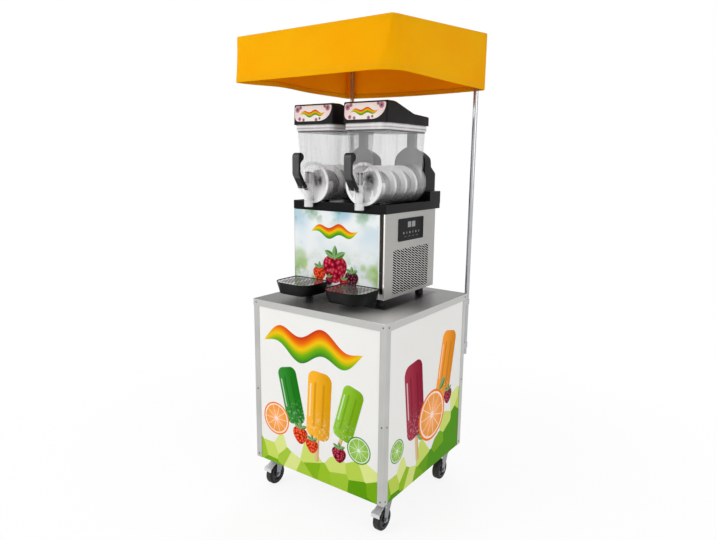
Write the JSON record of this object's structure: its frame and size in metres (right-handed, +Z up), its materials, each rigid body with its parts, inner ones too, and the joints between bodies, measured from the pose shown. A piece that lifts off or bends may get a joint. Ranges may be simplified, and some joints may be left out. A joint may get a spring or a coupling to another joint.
{
  "type": "slush machine cart",
  "caption": "Wheeled slush machine cart: boxed cabinet on castors with a cloth canopy on posts and a frozen-drink machine with clear bowls, augers, taps and drip trays.",
  "frame": {"origin": "on the floor under the centre of the cart", "axes": "+Z up, front of the cart and its taps towards -Y, +X to the right of someone facing the front"},
  "size_m": [0.756, 0.7626, 2.04],
  "materials": {
    "worktop_steel": "brushed",
    "trim_grey": "satin",
    "frame_paint": "satin",
    "board_white": "satin laminate",
    "panel_print": "printed satin",
    "door_white": "satin",
    "rivet_steel": "dull",
    "zinc": "zinc plated",
    "tyre_black": "matt",
    "hinge_steel": "satin",
    "latch_chrome": "polished",
    "post_chrome": "polished",
    "canopy_tube": "satin",
    "canopy_cloth": "coated cloth",
    "machine_steel": "brushed",
    "machine_print": "printed gloss",
    "touch_black": "gloss",
    "black_plastic": "fine grain",
    "bowl_clear": "clear",
    "drum_steel": "polished",
    "auger_white": "smooth",
    "seal_rubber": "matt",
    "motor_grey": "cast",
    "compressor_black": "painted",
    "condenser_metal": "plain",
    "fan_plastic": "plain"
  },
  "bodies": {
    "cart": {"worktop": "worktop_steel", "corner_trims": "trim_grey", "cart_frame": "frame_paint", "floor_board": "board_white", "front_panel": "panel_print", "left_panel": "panel_print", "right_panel": "panel_print", "panel_rivets": "rivet_steel", "castor_plates": "zinc", "castor_bolts": "zinc", "frame_hinge_leaves": "hinge_steel", "canopy_posts": "post_chrome", "post_clamps": "post_chrome", "canopy_frame": "canopy_tube", "canopy_cover": "canopy_cloth", "machine_base": "machine_steel", "machine_left_panel": "machine_steel", "machine_right_panel": "machine_steel", "machine_back_panel": "machine_steel", "machine_front_panel": "machine_print", "control_panel": "touch_black", "bowl_deck": "black_plastic", "cord_gland": "black_plastic", "cooling_drums": "drum_steel", "bowl_seals": "seal_rubber", "machine_feet": "seal_rubber", "gear_motors": "motor_grey", "compressor": "compressor_black", "condenser": "condenser_metal", "fan_mount": "fan_plastic"},
    "castor_front_left": {"castor_fork_front_left": "zinc"},
    "wheel_front_left": {"castor_wheel_front_left": "tyre_black"},
    "pedal_front_left": {"brake_pedal_front_left": "zinc"},
    "castor_front_right": {"castor_fork_front_right": "zinc"},
    "wheel_front_right": {"castor_wheel_front_right": "tyre_black"},
    "pedal_front_right": {"brake_pedal_front_right": "zinc"},
    "castor_rear_left": {"castor_fork_rear_left": "zinc"},
    "wheel_rear_left": {"castor_wheel_rear_left": "tyre_black"},
    "castor_rear_right": {"castor_fork_rear_right": "zinc"},
    "wheel_rear_right": {"castor_wheel_rear_right": "tyre_black"},
    "door": {"rear_door": "door_white", "door_hinge_leaves": "hinge_steel"},
    "latch": {"door_latch": "latch_chrome"},
    "bowl_left": {"bowl_left": "bowl_clear"},
    "lid_left": {"lid_left": "black_plastic"},
    "handle_left": {"tap_handle_left": "black_plastic"},
    "piston_left": {"tap_piston_left": "auger_white"},
    "auger_left": {"auger_left": "auger_white", "drive_shaft_left": "drum_steel"},
    "tray_left": {"drip_tray_left": "black_plastic"},
    "grid_left": {"drip_grid_left": "black_plastic"},
    "bowl_right": {"bowl_right": "bowl_clear"},
    "lid_right": {"lid_right": "black_plastic"},
    "handle_right": {"tap_handle_right": "black_plastic"},
    "piston_right": {"tap_piston_right": "auger_white"},
    "auger_right": {"auger_right": "auger_white", "drive_shaft_right": "drum_steel"},
    "tray_right": {"drip_tray_right": "black_plastic"},
    "grid_right": {"drip_grid_right": "black_plastic"},
    "fan": {"fan_rotor": "fan_plastic"}
  },
  "joints": [
    {"name": "swivel_front_left", "type": "hinge", "parent": "cart", "child": "castor_front_left", "pos_m": [-0.3, -0.25, 0.13], "axis": [0, 0, 1], "continuous": true},
    {"name": "wheel_spin_front_left", "type": "hinge", "parent": "castor_front_left", "child": "wheel_front_left", "pos_m": [-0.3, -0.272, 0.0475], "axis": [1, 0, 0], "continuous": true},
    {"name": "brake_front_left", "type": "hinge", "parent": "castor_front_left", "child": "pedal_front_left", "pos_m": [-0.3, -0.272, 0.105], "axis": [1, 0, 0], "range_deg": [-12, 0]},
    {"name": "swivel_front_right", "type": "hinge", "parent": "cart", "child": "castor_front_right", "pos_m": [0.3, -0.25, 0.13], "axis": [0, 0, 1], "continuous": true},
    {"name": "wheel_spin_front_right", "type": "hinge", "parent": "castor_front_right", "child": "wheel_front_right", "pos_m": [0.3, -0.272, 0.0475], "axis": [1, 0, 0], "continuous": true},
    {"name": "brake_front_right", "type": "hinge", "parent": "castor_front_right", "child": "pedal_front_right", "pos_m": [0.3, -0.272, 0.105], "axis": [1, 0, 0], "range_deg": [-12, 0]},
    {"name": "swivel_rear_left", "type": "hinge", "parent": "cart", "child": "castor_rear_left", "pos_m": [-0.3, 0.25, 0.13], "axis": [0, 0, 1], "continuous": true},
    {"name": "wheel_spin_rear_left", "type": "hinge", "parent": "castor_rear_left", "child": "wheel_rear_left", "pos_m": [-0.3, 0.228, 0.0475], "axis": [1, 0, 0], "continuous": true},
    {"name": "swivel_rear_right", "type": "hinge", "parent": "cart", "child": "castor_rear_right", "pos_m": [0.3, 0.25, 0.13], "axis": [0, 0, 1], "continuous": true},
    {"name": "wheel_spin_rear_right", "type": "hinge", "parent": "castor_rear_right", "child": "wheel_rear_right", "pos_m": [0.3, 0.228, 0.0475], "axis": [1, 0, 0], "continuous": true},
    {"name": "door_hinge", "type": "hinge", "parent": "cart", "child": "door", "pos_m": [0.3175, 0.3425, 0.5], "axis": [0, 0, -1], "range_deg": [0, 100]},
    {"name": "latch_turn", "type": "hinge", "parent": "door", "child": "latch", "pos_m": [-0.2905, 0.337, 0.52], "axis": [0, 1, 0], "range_deg": [0, 90]},
    {"name": "bowl_pull_left", "type": "slide", "parent": "cart", "child": "bowl_left", "axis": [0, -1, 0], "range_m": [0, 0.34]},
    {"name": "lid_lift_left", "type": "slide", "parent": "bowl_left", "child": "lid_left", "axis": [0, 0, 1], "range_m": [0, 0.06]},
    {"name": "tap_pull_left", "type": "hinge", "parent": "bowl_left", "child": "handle_left", "pos_m": [-0.164, -0.222, 1.385], "axis": [1, 0, 0], "range_deg": [0, 50], "stiffness_Nm_per_rad": 1, "springref_deg": -28.65},
    {"name": "piston_rise_left", "type": "slide", "parent": "bowl_left", "child": "piston_left", "axis": [0, 0, 1], "range_m": [0, 0.0254]},
    {"name": "auger_spin_left", "type": "hinge", "parent": "cart", "child": "auger_left", "pos_m": [-0.164, 0, 1.4], "axis": [0, 1, 0], "continuous": true},
    {"name": "tray_pull_left", "type": "slide", "parent": "cart", "child": "tray_left", "axis": [0, -1, 0], "range_m": [0, 0.17]},
    {"name": "grid_lift_left", "type": "slide", "parent": "tray_left", "child": "grid_left", "axis": [0, 0, 1], "range_m": [0, 0.04]},
    {"name": "bowl_pull_right", "type": "slide", "parent": "cart", "child": "bowl_right", "axis": [0, -1, 0], "range_m": [0, 0.34]},
    {"name": "lid_lift_right", "type": "slide", "parent": "bowl_right", "child": "lid_right", "axis": [0, 0, 1], "range_m": [0, 0.06]},
    {"name": "tap_pull_right", "type": "hinge", "parent": "bowl_right", "child": "handle_right", "pos_m": [0.104, -0.222, 1.385], "axis": [1, 0, 0], "range_deg": [0, 50], "stiffness_Nm_per_rad": 1, "springref_deg": -28.65},
    {"name": "piston_rise_right", "type": "slide", "parent": "bowl_right", "child": "piston_right", "axis": [0, 0, 1], "range_m": [0, 0.0254]},
    {"name": "auger_spin_right", "type": "hinge", "parent": "cart", "child": "auger_right", "pos_m": [0.104, 0, 1.4], "axis": [0, 1, 0], "continuous": true},
    {"name": "tray_pull_right", "type": "slide", "parent": "cart", "child": "tray_right", "axis": [0, -1, 0], "range_m": [0, 0.17]},
    {"name": "grid_lift_right", "type": "slide", "parent": "tray_right", "child": "grid_right", "axis": [0, 0, 1], "range_m": [0, 0.04]},
    {"name": "fan_spin", "type": "hinge", "parent": "cart", "child": "fan", "pos_m": [0.136, 0.058, 1.0275], "axis": [1, 0, 0], "continuous": true}
  ],
  "couplings": [
    {"joint": "piston_rise_left", "follows": "tap_pull_left", "m_per_rad": 0.02906},
    {"joint": "piston_rise_right", "follows": "tap_pull_right", "m_per_rad": 0.02906}
  ]
}
